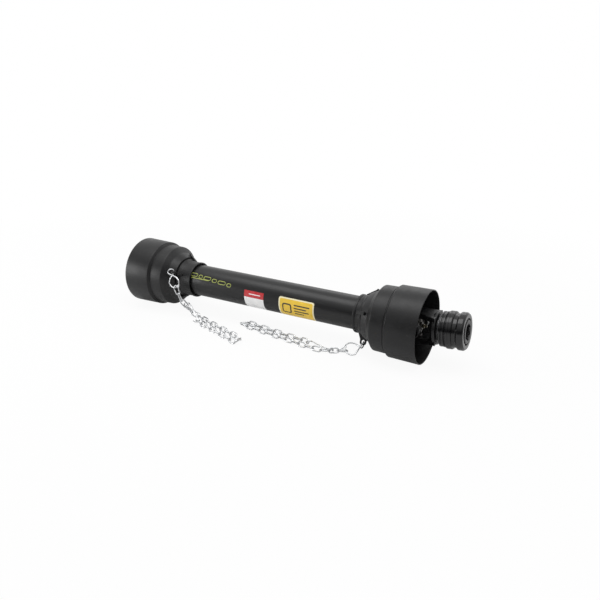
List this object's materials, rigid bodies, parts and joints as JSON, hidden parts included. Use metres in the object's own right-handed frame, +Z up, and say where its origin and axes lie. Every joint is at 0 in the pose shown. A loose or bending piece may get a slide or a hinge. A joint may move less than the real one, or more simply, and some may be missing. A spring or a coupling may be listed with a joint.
{
  "type": "pto drive shaft",
  "caption": "Telescoping PTO drive shaft in plastic guard tubes and cones, with a universal joint and quick-release splined yoke at each end and safety chains.",
  "frame": {"origin": "centre of the bounding box on the floor, under the closed shaft", "axes": "+X along the shaft towards the outer guard tube's end, +Z up, -Y towards the chains' side"},
  "size_m": [0.8694, 0.2046, 0.15],
  "materials": {
    "guard_plastic": "blow-moulded black polyethylene, satin",
    "collar_plastic": "moulded black plastic, satin",
    "ring_nylon": "natural nylon",
    "black_paint": "black paint over forged steel, semi-gloss",
    "tube_steel": "drawn steel tube, oiled",
    "bright_steel": "ground bearing steel",
    "zinc_wire": "bright zinc-plated steel wire",
    "spring_steel": "phosphated spring steel",
    "nipple_brass": "yellow-passivated grease nipple"
  },
  "bodies": {
    "guard_right": {"right_guard_cone": "guard_plastic", "right_guard_collar": "collar_plastic", "right_bearing_ring": "ring_nylon", "outer_guard_tube": "guard_plastic"},
    "guard_left": {"left_guard_cone": "guard_plastic", "left_guard_collar": "collar_plastic", "left_bearing_ring": "ring_nylon", "inner_guard_tube": "guard_plastic"},
    "drive_right": {"right_tube_yoke": "black_paint", "outer_profile_tube": "tube_steel", "right_roll_pin": "spring_steel", "right_cap_rear": "bright_steel", "right_cap_front": "bright_steel", "right_snap_ring_rear": "spring_steel", "right_snap_ring_front": "spring_steel"},
    "cross_right": {"right_cross": "bright_steel", "right_grease_nipple": "nipple_brass"},
    "yoke_right": {"right_splined_yoke": "black_paint", "right_cap_top": "bright_steel", "right_cap_bottom": "bright_steel", "right_snap_ring_top": "spring_steel", "right_snap_ring_bottom": "spring_steel", "right_retaining_ring": "spring_steel", "right_collar_spring": "spring_steel", "right_lock_ball_1": "bright_steel", "right_lock_ball_2": "bright_steel", "right_lock_ball_3": "bright_steel"},
    "collar_right": {"right_release_collar": "black_paint"},
    "chain_right": {"right_chain": "zinc_wire", "right_hook": "zinc_wire", "right_end_hook": "zinc_wire"},
    "drive_left": {"left_tube_yoke": "black_paint", "inner_profile_tube": "tube_steel", "left_roll_pin": "spring_steel", "left_cap_rear": "bright_steel", "left_cap_front": "bright_steel", "left_snap_ring_rear": "spring_steel", "left_snap_ring_front": "spring_steel"},
    "cross_left": {"left_cross": "bright_steel", "left_grease_nipple": "nipple_brass"},
    "yoke_left": {"left_splined_yoke": "black_paint", "left_cap_top": "bright_steel", "left_cap_bottom": "bright_steel", "left_snap_ring_top": "spring_steel", "left_snap_ring_bottom": "spring_steel", "left_retaining_ring": "spring_steel", "left_collar_spring": "spring_steel", "left_lock_ball_1": "bright_steel", "left_lock_ball_2": "bright_steel", "left_lock_ball_3": "bright_steel"},
    "collar_left": {"left_release_collar": "black_paint"},
    "chain_left": {"left_chain": "zinc_wire", "left_hook": "zinc_wire", "left_end_hook": "zinc_wire"}
  },
  "joints": [
    {"name": "right_drive_turn", "type": "hinge", "parent": "guard_right", "child": "drive_right", "pos_m": [0.33025, 0.02098, 0.075], "axis": [1, 0, 0], "continuous": true},
    {"name": "telescope", "type": "slide", "parent": "drive_right", "child": "drive_left", "axis": [-1, 0, 0], "range_m": [0, 0.2]},
    {"name": "left_guard_turn", "type": "hinge", "parent": "drive_left", "child": "guard_left", "pos_m": [-0.32975, 0.02098, 0.075], "axis": [1, 0, 0], "continuous": true},
    {"name": "right_cross_hinge", "type": "hinge", "parent": "drive_right", "child": "cross_right", "pos_m": [0.33025, 0.02098, 0.075], "axis": [0, 1, 0], "range_deg": [-25.5, 34.5]},
    {"name": "right_yoke_hinge", "type": "hinge", "parent": "cross_right", "child": "yoke_right", "pos_m": [0.33025, 0.02098, 0.075], "axis": [-0.0785, 0, 0.9969], "range_deg": [-30, 30]},
    {"name": "right_collar_slide", "type": "slide", "parent": "yoke_right", "child": "collar_right", "axis": [-0.9969, 0, -0.0785], "range_m": [0, 0.006], "stiffness_N_per_m": 4000, "springref_m": -0.003, "deforming": ["right_collar_spring"]},
    {"name": "right_chain_swing", "type": "hinge", "parent": "guard_right", "child": "chain_right", "pos_m": [0.22975, -0.00248, 0.0247], "axis": [0, 0, 1], "range_deg": [-8, 3]},
    {"name": "left_cross_hinge", "type": "hinge", "parent": "drive_left", "child": "cross_left", "pos_m": [-0.32975, 0.02098, 0.075], "axis": [0, 1, 0], "range_deg": [-20, 40]},
    {"name": "left_yoke_hinge", "type": "hinge", "parent": "cross_left", "child": "yoke_left", "pos_m": [-0.32975, 0.02098, 0.075], "axis": [-0.1736, 0, 0.9848], "range_deg": [0, 60]},
    {"name": "left_collar_slide", "type": "slide", "parent": "yoke_left", "child": "collar_left", "axis": [0.8529, -0.5, 0.1504], "range_m": [0, 0.006], "stiffness_N_per_m": 4000, "springref_m": -0.003, "deforming": ["left_collar_spring"]},
    {"name": "left_chain_swing", "type": "hinge", "parent": "guard_left", "child": "chain_left", "pos_m": [-0.22925, -0.02803, 0.10106], "axis": [0, 0, 1], "range_deg": [-3, 4]}
  ]
}
